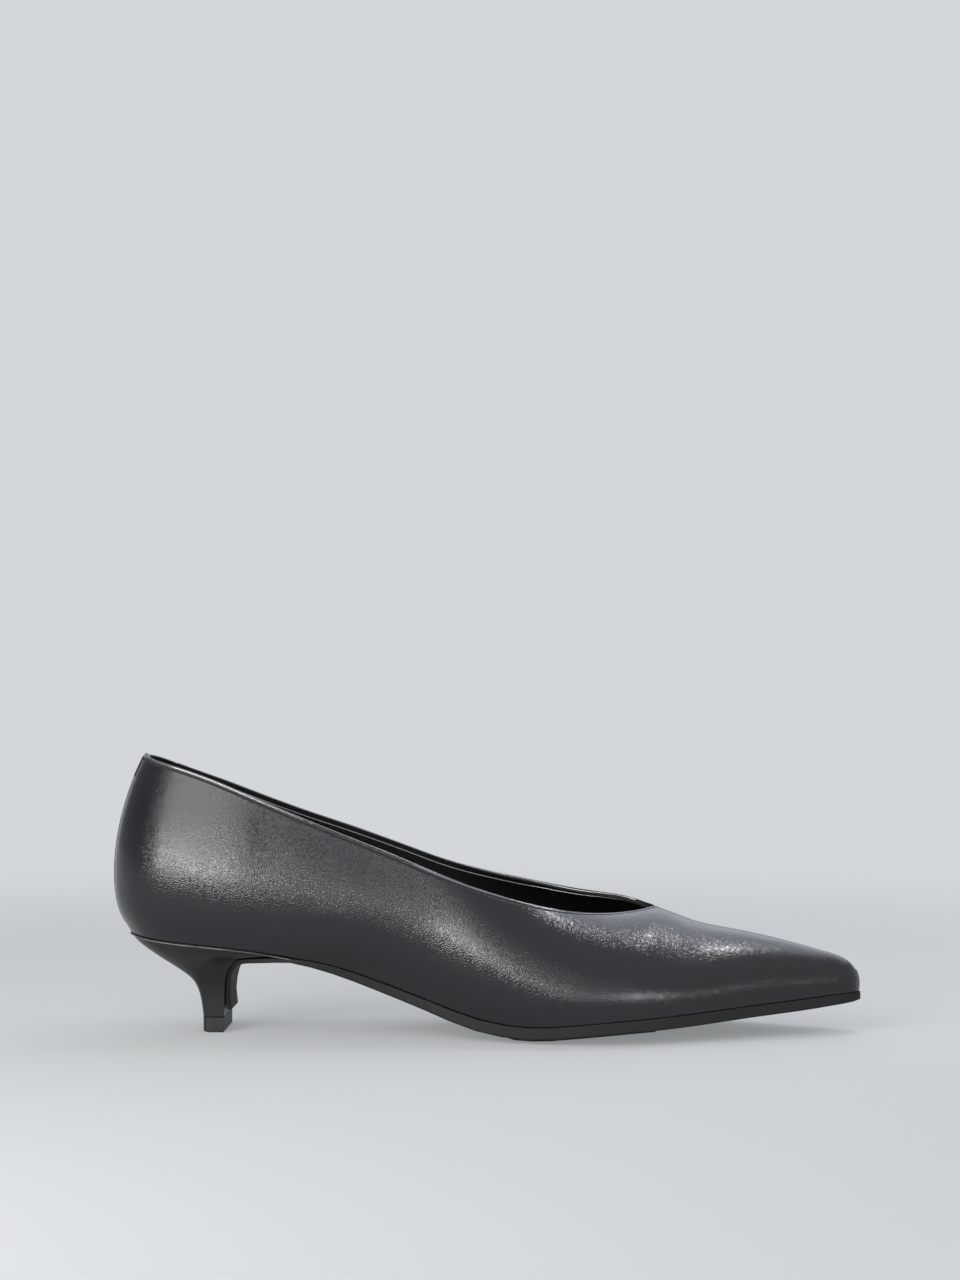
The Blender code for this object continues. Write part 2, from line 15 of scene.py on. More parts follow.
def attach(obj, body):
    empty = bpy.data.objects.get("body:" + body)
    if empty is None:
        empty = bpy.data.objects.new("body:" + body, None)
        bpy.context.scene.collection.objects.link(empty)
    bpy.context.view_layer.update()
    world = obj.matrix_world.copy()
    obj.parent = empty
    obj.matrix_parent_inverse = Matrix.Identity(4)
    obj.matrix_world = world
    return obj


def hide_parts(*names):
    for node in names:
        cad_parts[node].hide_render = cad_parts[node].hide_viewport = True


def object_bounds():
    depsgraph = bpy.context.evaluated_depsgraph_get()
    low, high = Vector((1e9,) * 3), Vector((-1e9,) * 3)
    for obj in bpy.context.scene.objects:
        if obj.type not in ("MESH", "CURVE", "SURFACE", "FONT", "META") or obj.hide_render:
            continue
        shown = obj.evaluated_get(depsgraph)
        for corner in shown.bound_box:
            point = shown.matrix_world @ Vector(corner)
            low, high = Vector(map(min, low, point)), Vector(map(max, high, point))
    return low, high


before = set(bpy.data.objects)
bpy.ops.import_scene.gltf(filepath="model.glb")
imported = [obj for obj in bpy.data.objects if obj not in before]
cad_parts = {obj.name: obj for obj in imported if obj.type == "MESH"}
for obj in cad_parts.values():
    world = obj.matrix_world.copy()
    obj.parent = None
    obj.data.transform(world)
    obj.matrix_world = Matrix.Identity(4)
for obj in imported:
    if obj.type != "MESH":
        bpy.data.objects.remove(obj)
packed_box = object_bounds()
LOW, HIGH = packed_box
LENGTH = HIGH.x - LOW.x
HEIGHT = HIGH.z - LOW.z

MM = 0.001
MERGE = 0.002 * MM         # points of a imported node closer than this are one
BEVEL_MERGE = 0.02 * MM    # the same, of a bevelled piece
SHARP = math.radians(42)   # edges that fold more than this stay crisp

# Camera, as it stands in the photo: level, turned a little, with its focal length in photo pixels
FOCAL_PIXELS = 2556
PHOTO_HEIGHT = 1280
SENSOR = 36
CAMERA_TURN = math.radians(1.97)
CAMERA_AIM_X = -0.0019
CAMERA_AIM_Y = 0.0011
CAMERA_DISTANCE = 0.900
CAMERA_HEIGHT = 0.137

BACKDROP = (0.651, 0.679, 0.694)
FLOOR_COLOUR = (0.49, 0.495, 0.50)
FLOOR_SIZE = 40
FLOOR_PLAIN = 0.25         # from the middle to where the floor starts to turn into the backdrop
FLOOR_GONE = 0.70
FLOOR_GLOW = 0.34          # share of the backdrop in the floor under the shoe
DIM_SIDE = (-0.95, 0.22, 0.20)    # the sky is dimmer this way, behind the heel
DIM_FROM, DIM_TO = 0.70, 0.88     # cosines of the angles where it starts and stops to get dimmer
DIM_STRENGTH = 0.35

# Upright softboxes: left and right edge in degrees round the shoe from the camera's side, lower
# and upper edge in degrees above its middle, distance in metres, brightness against a white wall
Softbox = namedtuple("Softbox", "name left right low high distance radiance tint")
SOFTBOXES = (
    Softbox("side_window", -61, -15, 1, 45, 0.60, 4.0, (1.0, 0.98, 0.95)),
    Softbox("side_window_foot", -61, -19, 2, 9, 0.58, 10.0, (1.0, 0.98, 0.95)),
    Softbox("front_wall", -20, 32, 0, 36, 3.0, 0.4, (0.90, 0.95, 1.0)),
    Softbox("front_wall_foot", -20, 32, 0, 12, 2.9, 1.8, (0.94, 0.97, 1.0)),
    Softbox("front_window", 24, 44, 0, 12, 1.0, 6.5, (0.94, 0.97, 1.0)),
)

# Ceiling panels: edges in metres along and across the shoe, height, brightness
Panel = namedtuple("Panel", "name left right near far height radiance tint")
PANELS = (
    Panel("ceiling", 0.05, 1.20, 0.24, 2.60, 1.0, 1.35, (0.78, 0.85, 1.0)),
    Panel("ceiling_edge", 0.142, 0.200, 0.050, 0.080, 0.32, 30.0, (1.0, 0.96, 1.0)),
    Panel("ceiling_edge_back", 0.045, 0.078, 0.078, 0.098, 0.32, 15.0, (0.97, 0.95, 1.0)),
)

# Leather: sizes of its marks, and their depths as shares of the grain
PORE_SIZE, PORE_DEPTH = 0.70 * MM, 2.4
WRINKLE_SIZE, WRINKLE_DEPTH = 1.1 * MM, 1.5
WAVE_SIZE, WAVE_DEPTH = 6.0 * MM, 4.5
GLOSS_PATCH = 9 * MM
LEATHER_COLOUR = (0.0088, 0.0070, 0.0096)
LINING_COLOUR = (0.0035, 0.0033, 0.0036)
# the lining's edge line is paler than the lining: partly its own raw edge, partly a painted
# highlight
LINING_EDGE_LIT_COLOUR = (0.050, 0.050, 0.054)
# the folded edge is paler than the upper's leather, as a painted highlight along the collar
FOLDED_EDGE_HIGHLIGHT_COLOUR = (0.030, 0.027, 0.032)
SEAM_COLOUR = (0.0095, 0.0075, 0.0103)

# Collar's edge
LONG_STRIP = 40             # a strip of the upper with more faces runs round an opening
EDGE_ROLL_RADIUS = 0.50 * MM
EDGE_ROLL_DEPTH = 0.30 * MM    # from the collar's edge down to the roll's middle
EDGE_ROLL_IN = 0.35         # where the roll's middle lies in the wall: 0 outside, 1 inside
LINING_EDGE_DEPTH = 2.0 * MM
LINING_EDGE_RADIUS = 0.32 * MM
GROOVE_DEPTH = 0.22 * MM    # under the folded edge
GROOVE_FROM_EDGE = 1.30 * MM
GROOVE_WIDTH = 0.9 * MM
GROOVE_ROUGHNESS = 0.85
THROAT_SIDE = (0.046, -0.020, 0.040)
THROAT_REACH = 0.038
THROAT_WRINKLE_SIZE = 1.3 * MM
THROAT_WRINKLE_DEPTH = 0.07 * MM

# Middle of the hollow, which tells the upper's inside from its outside
HOLLOW_SLOTS = 30
HOLLOW_BACK = 0.17         # ends of its line, as shares of the shoe's length from either end
HOLLOW_TOE = 0.11
HOLLOW_NEAR = 0.02         # share of the length within which points count for a slot

# Back seam and the small tab folded over its top
SEAM_SPREAD = 0.55 * MM    # each lip of the seam lies this far from the middle
SEAM_RADIUS = 0.50 * MM
SEAM_SUNK = 0.24 * MM      # how deep a lip's middle lies under the skin
TAB_LENGTH = 7.5 * MM
TAB_INSIDE = 6.0 * MM
TAB_WIDTH = 5.6 * MM
TAB_THICKNESS = 0.38 * MM
TAB_SHOULDER = 0.9 * MM    # the tab bends over from this far under the collar's edge
TAB_OVER = 0.25 * MM       # and lies this far over it
TAB_LIFT = 0.05 * MM
TAB_ROWS_OUTSIDE = 6
TAB_ROWS_INSIDE = 5
TAB_COLUMNS = 5
BACK_REACH = 0.03          # how far the back wall is looked for around the shoe's back end
BACK_RAY = 1.6 * BACK_REACH    # stops short of the wall's other side
SEAM_POINTS = 16

# Heel and tread
# The heel's edge cord has a painted highlight: pale patches of one colour, the darker colour
# between them
HEEL_EDGE_HIGHLIGHT_COLOUR = (0.095, 0.089, 0.080)
HEEL_EDGE_UNLIT = (0.03, 0.028, 0.027)
HEEL_EDGE_HIGHLIGHT_PATCH = 7 * MM
HEEL_EDGE_IN = 0.26 * MM    # middle of the edge cord with the painted highlight, inside and under the heel's upper corner
HEEL_EDGE_DOWN = 0.56 * MM
HEEL_EDGE_RADIUS = 0.24 * MM
FACING_UP = 0.8            # least z of a normal on the heel's seat
FACING_SIDE = 0.6          # greatest z of a normal on its sides
TREAD_RIB = 3.6 * MM       # from one rib of the tread to the next
TREAD_RIB_DEPTH = 0.35 * MM
TREAD_FROM, TREAD_TO = 0.25 * MM, 0.45 * MM    # heights between which the ribs fade out
WAVE_REPEAT = 0.314        # a wave texture of scale 1 repeats at this distance

# Folds of the upper. x and z are shares of the shoe's length and height where a fold starts and
# ends, bow is how far its middle swings towards the toe, width and height are its size.
Fold = namedtuple("Fold", "side x_from z_from x_to z_to bow width height")
OUTER, INNER = -1, 1
FOLD_POINTS = 60
FOLD_REACH = 3             # widths from a fold's line to where its effect is cut off
FOLD_END = 0.12            # how far along half a sine wave a fold starts to fade in
FOLDS = (
    Fold(OUTER, 0.214, 0.840, 0.208, 0.560, 0.006, 5.5 * MM, -0.16 * MM),
    Fold(OUTER, 0.262, 0.760, 0.318, 0.560, 0.000, 5.0 * MM, -0.10 * MM),
    Fold(OUTER, 0.316, 0.700, 0.388, 0.520, 0.000, 5.0 * MM, -0.12 * MM),
    Fold(OUTER, 0.392, 0.610, 0.460, 0.440, 0.004, 5.0 * MM, -0.12 * MM),
    Fold(OUTER, 0.470, 0.520, 0.540, 0.330, 0.006, 5.0 * MM, -0.10 * MM),
    Fold(OUTER, 0.622, 0.395, 0.655, 0.270, 0.004, 2.2 * MM, -0.10 * MM),
    Fold(OUTER, 0.648, 0.400, 0.690, 0.280, 0.004, 2.2 * MM, -0.10 * MM),
    Fold(OUTER, 0.676, 0.400, 0.722, 0.290, 0.004, 2.2 * MM, -0.08 * MM),
    Fold(OUTER, 0.700, 0.375, 0.752, 0.285, 0.004, 2.4 * MM, -0.08 * MM),
    Fold(OUTER, 0.742, 0.350, 0.800, 0.270, 0.002, 2.8 * MM, -0.06 * MM),
    Fold(INNER, 0.230, 0.800, 0.225, 0.560, 0.006, 6.0 * MM, -0.15 * MM),
    Fold(INNER, 0.330, 0.680, 0.390, 0.520, 0.000, 6.0 * MM, -0.12 * MM),
    Fold(INNER, 0.430, 0.580, 0.500, 0.420, 0.004, 6.0 * MM, -0.12 * MM),
    Fold(INNER, 0.560, 0.440, 0.615, 0.300, 0.004, 4.5 * MM, -0.12 * MM),
    Fold(INNER, 0.640, 0.410, 0.690, 0.290, 0.004, 3.0 * MM, -0.08 * MM),
    Fold(INNER, 0.690, 0.380, 0.740, 0.290, 0.004, 3.0 * MM, -0.08 * MM),
)


def deselect():
    """Nothing stays selected or active."""
    bpy.ops.object.select_all(action="DESELECT")
    bpy.context.view_layer.objects.active = None


def activate(piece):
    """Only this piece is selected, and it is the active one."""
    deselect()
    piece.select_set(True)
    bpy.context.view_layer.objects.active = piece


def apply_modifiers(piece):
    """Bake all modifiers of a piece into its mesh."""
    activate(piece)
    for modifier in list(piece.modifiers):
        bpy.ops.object.modifier_apply(modifier=modifier.name)


def new_modifier(piece, kind, **settings):
    """Add a modifier with its settings."""
    modifier = piece.modifiers.new(kind.lower(), kind)
    for name, value in settings.items():
        setattr(modifier, name, value)


def smooth(piece, angle=SHARP):
    """Shade a piece smooth, apart from its sharp edges."""
    activate(piece)
    bpy.ops.object.shade_smooth_by_angle(angle=angle)


def copy_of(node, name):
    """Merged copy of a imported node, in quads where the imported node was."""
    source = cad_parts[node]
    piece = source.copy()
    piece.data = source.data.copy()
    piece.name = name
    piece.data.name = name
    piece.data.materials.clear()
    source.users_collection[0].objects.link(piece)
    activate(piece)
    bpy.ops.object.mode_set(mode="EDIT")
    bpy.ops.mesh.select_all(action="SELECT")
    bpy.ops.mesh.customdata_custom_splitnormals_clear()
    bpy.ops.mesh.remove_doubles(threshold=MERGE)
    bpy.ops.mesh.tris_convert_to_quads(face_threshold=math.radians(50),
                                       shape_threshold=math.radians(80))
    bpy.ops.object.mode_set(mode="OBJECT")
    piece.parent = None
    return piece


def dress(piece, material, slot, *nodes):
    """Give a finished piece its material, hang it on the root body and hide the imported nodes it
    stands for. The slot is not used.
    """
    if material:
        piece.data.materials.clear()
        piece.data.materials.append(material)
    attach(piece, "root")
    if nodes:
        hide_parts(*nodes)


# Materials


def socket(shader, name, value):
    """Set a shader's own socket."""
    shader.inputs[name].default_value = value


class Finish:
    """A material under construction: its tree, its shader and the nodes added to it."""

    def __init__(self, name, colour, roughness, specular=0.5):
        self.material = bpy.data.materials.new(name)
        self.material.use_nodes = True
        self.tree = self.material.node_tree
        self.shader = self.tree.nodes["Principled BSDF"]
        socket(self.shader, "Base Color", (*colour, 1))
        socket(self.shader, "Roughness", roughness)
        socket(self.shader, "Specular IOR Level", specular)
        self.place = self.add("ShaderNodeTexCoord").outputs["Object"]

    def add(self, kind, inputs=None, **settings):
        """Add a node. An input is given a value, or a socket to link."""
        node = self.tree.nodes.new(kind)
        for name, value in settings.items():
            setattr(node, name, value)
        for name, value in (inputs or {}).items():
            if isinstance(value, bpy.types.NodeSocket):
                self.tree.links.new(value, node.inputs[name])
            else:
                node.inputs[name].default_value = value
        return node

    def feed(self, name, output):
        """Link an output to one of the shader's inputs."""
        self.tree.links.new(output, self.shader.inputs[name])

    def math(self, operation, first, second=0.0):
        """Output of a maths node."""
        return self.add("ShaderNodeMath", {0: first, 1: second}, operation=operation).outputs[0]

    def stretched(self, scale):
        """Object place, stretched along the axes."""
        node = self.add("ShaderNodeMapping", {"Vector": self.place, "Scale": scale})
        return node.outputs[0]

    def noise(self, size, detail=2.0, place=None):
        """Soft noise whose patches are about this size."""
        node = self.add("ShaderNodeTexNoise", {"Vector": place or self.place, "Scale": 1 / size,
                                               "Detail": detail})
        return node.outputs["Fac"]

    def cells(self, size, place):
        """Distance to the edge of cells of about this size."""
        node = self.add("ShaderNodeTexVoronoi", {"Vector": place, "Scale": 1 / size},
                        feature="DISTANCE_TO_EDGE")
        return node.outputs["Distance"]

    def range(self, value, low, high, to_low, to_high):
        """Value moved smoothly from one range to another, held at its ends."""
        node = self.add("ShaderNodeMapRange",
                        {"Value": value, "From Min": low, "From Max": high,
                         "To Min": to_low, "To Max": to_high}, interpolation_type="SMOOTHSTEP")
        return node.outputs["Result"]

    def attribute(self, name):
        """Value that the mesh holds at each point."""
        return self.add("ShaderNodeAttribute", attribute_name=name).outputs["Fac"]

    def mix(self, factor, first, second):
        """Colour between two colours."""
        node = self.add("ShaderNodeMix", data_type="RGBA")
        self.tree.links.new(factor, node.inputs[0])
        for index, colour in ((6, first), (7, second)):
            node.inputs[index].default_value = (*colour, 1)
        return node.outputs[2]

    def bump(self, *layers):
        """Chain of bumps from (height, depth in metres) pairs."""
        normal = None
        for height, depth in layers:
            inputs = {"Height": height, "Distance": depth, "Strength": 1.0}
            if normal:
                inputs["Normal"] = normal
            normal = self.add("ShaderNodeBump", inputs).outputs["Normal"]
        self.feed("Normal", normal)


def leather(name, colour=LEATHER_COLOUR, roughness=0.14, grain=0.0115 * MM, specular=0.5,
            extra=(), matte=None):
    """Smooth leather: fine cells, soft wrinkles and slightly uneven gloss. Each function in
    extra adds a layer of relief, and matte says how rough the leather is at least."""
    finish = Finish(name, colour, roughness, specular)
    pores = finish.cells(PORE_SIZE, finish.stretched((1.0, 1.0, 0.8)))
    pores = finish.range(pores, 0.0, 0.35, 0.0, 1.0)
    wrinkles = finish.noise(WRINKLE_SIZE, place=finish.stretched((1.2, 1.0, 0.9)))
    waves = finish.noise(WAVE_SIZE, detail=1.0)
    layers = [(waves, WAVE_DEPTH * grain), (wrinkles, WRINKLE_DEPTH * grain),
              (pores, PORE_DEPTH * grain)]
    layers += [make(finish) for make in extra]
    finish.bump(*layers)
    gloss = finish.noise(GLOSS_PATCH, detail=3.0)
    rough = finish.range(gloss, 0.3, 0.7, roughness - 0.02, roughness + 0.03)
    if matte:
        rough = finish.math("MAXIMUM", rough, matte(finish))
    finish.feed("Roughness", rough)
    return finish


def throat_wrinkles(finish):
    """Short wrinkles that run down from the throat's edge on its outer side, as a layer of
    relief that fades out at a distance."""
    away = finish.add("ShaderNodeVectorMath", {0: finish.place, 1: THROAT_SIDE},
                      operation="DISTANCE").outputs["Value"]
    near = finish.range(away, 0.4 * THROAT_REACH, THROAT_REACH, 1.0, 0.0)
    wrinkles = finish.noise(THROAT_WRINKLE_SIZE, place=finish.stretched((1.0, 0.25, 0.25)))
    return finish.math("MULTIPLY", wrinkles, near), THROAT_WRINKLE_DEPTH


def from_groove(finish):
    """Distance from the middle of the groove under the folded edge."""
    away = finish.math("SUBTRACT", finish.attribute("from_edge"), GROOVE_FROM_EDGE)
    return finish.math("ABSOLUTE", away)


def edge_groove(finish):
    """Groove where the folded edge is pressed down, as a layer of relief."""
    return finish.range(from_groove(finish), 0.0, GROOVE_WIDTH / 2, 0.0, 1.0), GROOVE_DEPTH


def groove_shade(finish):
    """Roughness of the groove, where little light gets in."""
    return finish.range(from_groove(finish), 0.2 * GROOVE_WIDTH, 0.6 * GROOVE_WIDTH,
                        GROOVE_ROUGHNESS, 0.0)


def upper_leather():
    """Leather of the upper, wrinkled at the throat and grooved under its folded edge."""
    return leather("upper leather", extra=(throat_wrinkles, edge_groove),
                   matte=groove_shade).material


def lining_leather():
    """Dull black leather of the lining and the insole."""
    return leather("lining leather", LINING_COLOUR, 0.60, 0.010 * MM, 0.22).material


def edge_leather(name, colour, roughness=0.15, specular=1.0, ior=1.9):
    """Leather of thin edges, nearly without grain. By itself it is glossy, as where the
    leather is stretched over a fold."""
    finish = leather(name, colour, roughness, 0.003 * MM, specular)
    socket(finish.shader, "IOR", ior)
    return finish.material


def seam_leather(name):
    """Leather of the back seam and its tab, as black as the upper's."""
    return edge_leather(name, SEAM_COLOUR, roughness=0.22, specular=0.5, ior=1.5)


def sole_rubber():
    """Satin black sole, ribbed on its tread."""
    finish = Finish("sole rubber", (0.019, 0.0178, 0.0178), 0.60, specular=0.10)
    grit = finish.noise(1.0 * MM, detail=4.0)
    height = finish.add("ShaderNodeSeparateXYZ", {0: finish.place}).outputs["Z"]
    on_tread = finish.range(height, TREAD_FROM, TREAD_TO, 1.0, 0.0)
    ribs = finish.add("ShaderNodeTexWave",
                      {"Vector": finish.place, "Scale": WAVE_REPEAT / TREAD_RIB,
                       "Distortion": 0.0}, bands_direction="X")
    ribs = finish.math("MULTIPLY", ribs.outputs["Fac"], on_tread)
    finish.bump((ribs, TREAD_RIB_DEPTH), (grit, 0.03 * MM))
    return finish.material


def heel_cover():
    """Satin black cover of the heel."""
    finish = Finish("heel cover", (0.011, 0.0095, 0.0095), 0.38, specular=0.32)
    finish.bump((finish.noise(1.4 * MM, detail=3.0), 0.02 * MM))
    return finish.material


def painted_heel_edge_highlight():
    """Edge of the heel's cover with a painted highlight: pale in patches, dark between them."""
    finish = Finish("worn heel edge", HEEL_EDGE_HIGHLIGHT_COLOUR, 0.35)
    # painted highlight, in patches along the edge
    highlit = finish.range(finish.noise(HEEL_EDGE_HIGHLIGHT_PATCH), 0.38, 0.58, 0.0, 1.0)
    finish.feed("Base Color", finish.mix(highlit, HEEL_EDGE_UNLIT, HEEL_EDGE_HIGHLIGHT_COLOUR))
    return finish.material


def tip_plastic():
    """Dull black plastic of the top piece."""
    finish = Finish("tip plastic", (0.016, 0.0150, 0.0150), 0.50, specular=0.25)
    finish.bump((finish.noise(0.7 * MM, detail=3.0), 0.02 * MM))
    return finish.material


# Stage


def look_at(obj, target):
    """Turn a camera or a light towards a point."""
    direction = target - obj.location
    obj.rotation_euler = direction.to_track_quat("-Z", "Y").to_euler()


def make_camera():
    """Camera at the photo's place, level and looking past the middle of the shoe."""
    data = bpy.data.cameras.new("camera")
    data.sensor_fit = "AUTO"
    data.sensor_width = SENSOR
    data.lens = SENSOR * FOCAL_PIXELS / PHOTO_HEIGHT
    camera = bpy.data.objects.new("camera", data)
    ahead = Vector((-math.sin(CAMERA_TURN), math.cos(CAMERA_TURN), 0))
    camera.location = Vector((CAMERA_AIM_X, CAMERA_AIM_Y, CAMERA_HEIGHT)) - CAMERA_DISTANCE * ahead
    camera.rotation_euler = (math.radians(90), 0, CAMERA_TURN)
    bpy.context.scene.collection.objects.link(camera)
    bpy.context.scene.camera = camera


def make_area_light(row, width, height, place, target):
    """Rectangular light at a place, facing a target, as bright as its row says."""
    data = bpy.data.lights.new(row.name, "AREA")
    data.shape = "RECTANGLE"
    data.size = width
    data.size_y = height
    data.energy = row.radiance * math.pi * width * height
    data.color = row.tint
    box = bpy.data.objects.new(row.name, data)
    box.location = place
    look_at(box, target)
    box.visible_camera = False
    bpy.context.scene.collection.objects.link(box)


def make_softbox(row):
    """Upright light that stands beside the shoe."""
    around = math.radians((row.left + row.right) / 2)
    half_turn = math.radians((row.right - row.left) / 2)
    bottom = HEIGHT / 2 + row.distance * math.tan(math.radians(row.low))
    top = HEIGHT / 2 + row.distance * math.tan(math.radians(row.high))
    middle = (bottom + top) / 2
    place = (row.distance * math.sin(around), -row.distance * math.cos(around), middle)
    make_area_light(row, 2 * row.distance * math.tan(half_turn), top - bottom, place,
                    Vector((0, 0, middle)))


def make_panel(row):
    """Level light that hangs above and behind the shoe."""
    x, y = (row.left + row.right) / 2, (row.near + row.far) / 2
    make_area_light(row, row.right - row.left, row.far - row.near, (x, y, row.height),
                    Vector((x, y, 0)))


def make_sky():
    """Even pale light all round, dimmer on one side."""
    world = bpy.data.worlds.new("soft light")
    world.use_nodes = True
    tree = world.node_tree
    background = tree.nodes["Background"]
    background.inputs["Color"].default_value = (*BACKDROP, 1)
    direction = tree.nodes.new("ShaderNodeTexCoord").outputs["Generated"]
    toward = tree.nodes.new("ShaderNodeVectorMath")
    toward.operation = "DOT_PRODUCT"
    toward.inputs[1].default_value = DIM_SIDE
    tree.links.new(direction, toward.inputs[0])
    strength = tree.nodes.new("ShaderNodeMapRange")
    for name, value in (("From Min", DIM_FROM), ("From Max", DIM_TO),
                        ("To Min", 1.0), ("To Max", DIM_STRENGTH)):
        strength.inputs[name].default_value = value
    tree.links.new(toward.outputs["Value"], strength.inputs["Value"])
    tree.links.new(strength.outputs["Result"], background.inputs["Strength"])
    bpy.context.scene.world = world


def make_lights():
    """Pale sky, softboxes and ceiling panels."""
    make_sky()
    for row in SOFTBOXES:
        make_softbox(row)
    for row in PANELS:
        make_panel(row)
    bpy.context.scene.view_settings.view_transform = "Standard"


def make_floor():
    """Pale floor that runs into the backdrop away from the shoe."""
    deselect()
    bpy.ops.mesh.primitive_plane_add(size=FLOOR_SIZE, location=(0, 0, 0))
    floor = bpy.context.object
    floor.name = "floor"
    finish = Finish("pale floor", FLOOR_COLOUR, 0.9, specular=0.2)
    glow = finish.add("ShaderNodeEmission", {"Color": (*BACKDROP, 1), "Strength": 1.0})
    distance = finish.add("ShaderNodeVectorMath", {0: finish.place}, operation="LENGTH")
    away = finish.range(distance.outputs["Value"], FLOOR_PLAIN, FLOOR_GONE, FLOOR_GLOW, 1.0)
    mixer = finish.add("ShaderNodeMixShader", {0: away, 1: finish.shader.outputs[0],
                                               2: glow.outputs[0]})
    output = finish.tree.nodes["Material Output"]
    finish.tree.links.new(mixer.outputs[0], output.inputs["Surface"])
    floor.data.materials.append(finish.material)


# Upper

RimStation = namedtuple("RimStation", "outer outer_down inner inner_down")


def nearest(points, place):
    """The point of a list that lies nearest to a place."""
    return min(points, key=lambda p: (p - place).length_squared)


def mean_height(faces):
    """Mean height of the middles of faces."""
    return sum(face.calc_center_median().z for face in faces) / len(faces)


def rim_faces(bm):
    """Faces of the strip along the collar's edge, in order round the opening. Such a face has
    only corners on sharp edges, and of all long strips the collar's lies highest."""
    corners = {v for edge in bm.edges if edge.calc_face_angle() > SHARP for v in edge.verts}
    left = {face for face in bm.faces if all(v in corners for v in face.verts)}
    strips = []
    while left:
        face = min(left, key=lambda f: f.index)
        left.remove(face)
        strip = [face]
        while face:
            face = next((f for edge in face.edges for f in edge.link_faces if f in left), None)
            if face:
                left.remove(face)
                strip.append(face)
        strips.append(strip)
    return max((strip for strip in strips if len(strip) > LONG_STRIP), key=mean_height)


def collar_rim(mesh):
    """Stations round the collar's edge: the outer and inner corner of the wall at each, with
    the directions down the wall from them."""
    bm = bmesh.new()
    bm.from_mesh(mesh)
    middle = line_inside(mesh)
    strip = rim_faces(bm)
    on_rim = {v for face in strip for v in face.verts}

    def down_from(v):
        away = Vector()
        for edge in v.link_edges:
            other = edge.other_vert(v)
            if other not in on_rim:
                away += (other.co - v.co).normalized()
        return away.normalized()

    rim = []
    for before, after in zip(strip, strip[1:] + strip[:1]):
        shared = next(edge for edge in before.edges if after in edge.link_faces)
        center = nearest(middle, shared.verts[0].co)
        outer, inner = sorted(shared.verts, key=lambda v: -(v.co - center).length)
        rim.append(RimStation(outer.co.copy(), down_from(outer), inner.co.copy(), down_from(inner)))
    bm.free()
    return rim


def edge_roll_line(rim):
    """Points along the middle of the edge roll."""
    return [here.outer.lerp(here.inner, EDGE_ROLL_IN)
            + EDGE_ROLL_DEPTH * (here.outer_down + here.inner_down).normalized()
            for here in rim]


def make_tube(name, points, radius, cyclic=False):
    """Round cord mesh along points."""
    data = bpy.data.curves.new(name, "CURVE")
    data.dimensions = "3D"
    data.bevel_depth = radius
    data.bevel_resolution = 3
    data.resolution_u = 4
    data.use_fill_caps = not cyclic
    spline = data.splines.new("BEZIER")
    spline.bezier_points.add(len(points) - 1)
    for knot, point in zip(spline.bezier_points, points):
        knot.co = point
        knot.handle_left_type = knot.handle_right_type = "AUTO"
    spline.use_cyclic_u = cyclic
    piece = bpy.data.objects.new(name, data)
    bpy.context.scene.collection.objects.link(piece)
    activate(piece)
    bpy.ops.object.convert(target="MESH")
    piece = bpy.context.object
    smooth(piece, math.radians(60))
    return piece


def line_inside(mesh):
    """Points down the middle of the hollow, from its back to its toe."""
    points = []
    first, last = LOW.x + HOLLOW_BACK * LENGTH, HIGH.x - HOLLOW_TOE * LENGTH
    for i in range(HOLLOW_SLOTS):
        x = first + (last - first) * i / (HOLLOW_SLOTS - 1)
        near = [v.co.z for v in mesh.vertices if abs(v.co.x - x) < HOLLOW_NEAR * LENGTH]
        points.append(Vector((x, 0, (min(near) + max(near)) / 2)))
    return points


def mark_lining(piece):
    """Faces that look into the hollow get the second material."""
    middle = line_inside(piece.data)
    for face in piece.data.polygons:
        from_middle = face.center - nearest(middle, face.center)
        face.material_index = 1 if face.normal.dot(from_middle) < 0 else 0


def store_distance(piece, name, line):
    """Keep each point's distance from a closed line, as an attribute that materials read."""
    steps = 12
    tree = KDTree(steps * len(line))
    for i, point in enumerate(line):
        after = line[(i + 1) % len(line)]
        for step in range(steps):
            tree.insert(point.lerp(after, step / steps), i * steps + step)
    tree.balance()
    values = [tree.find(v.co)[2] for v in piece.data.vertices]
    attribute = piece.data.attributes.new(name, "FLOAT", "POINT")
    attribute.data.foreach_set("value", values)


def fold_line(fold, vertices, place_in_side_view):
    """Points of a fold on the skin, as a tree that finds the nearest."""
    line = KDTree(FOLD_POINTS)
    for i in range(FOLD_POINTS):
        s = i / (FOLD_POINTS - 1)
        x = fold.x_from + s * (fold.x_to - fold.x_from) + fold.bow * 4 * s * (1 - s)
        z = fold.z_from + s * (fold.z_to - fold.z_from)
        _, index, _ = place_in_side_view.find((LOW.x + x * LENGTH, 0, z * HEIGHT))
        line.insert(vertices[index].co, i)
    line.balance()
    return line


def fold_skin(piece):
    """Press the folds into the outside of the leather, as soft troughs and ridges."""
    skin = {i for face in piece.data.polygons if face.material_index == 0 for i in face.vertices}
    vertices = [piece.data.vertices[i] for i in sorted(skin)]
    side_views = {}
    for side in (OUTER, INNER):
        side_views[side] = KDTree(len(vertices))
        for i, v in enumerate(vertices):
            if v.co.y * side > 0:
                side_views[side].insert((v.co.x, 0, v.co.z), i)
        side_views[side].balance()
    moves = [0.0] * len(vertices)
    for fold in FOLDS:
        line = fold_line(fold, vertices, side_views[fold.side])
        for i, v in enumerate(vertices):
            _, index, distance = line.find(v.co)
            if distance < FOLD_REACH * fold.width:
                along = index / (FOLD_POINTS - 1)
                fade = math.sin(math.pi * (FOLD_END + (1 - 2 * FOLD_END) * along))
                moves[i] += fold.height * fade * math.exp(-(distance / fold.width) ** 2)
    normals = [v.normal.copy() for v in vertices]
    for v, normal, move in zip(vertices, normals, moves):
        v.co += move * normal


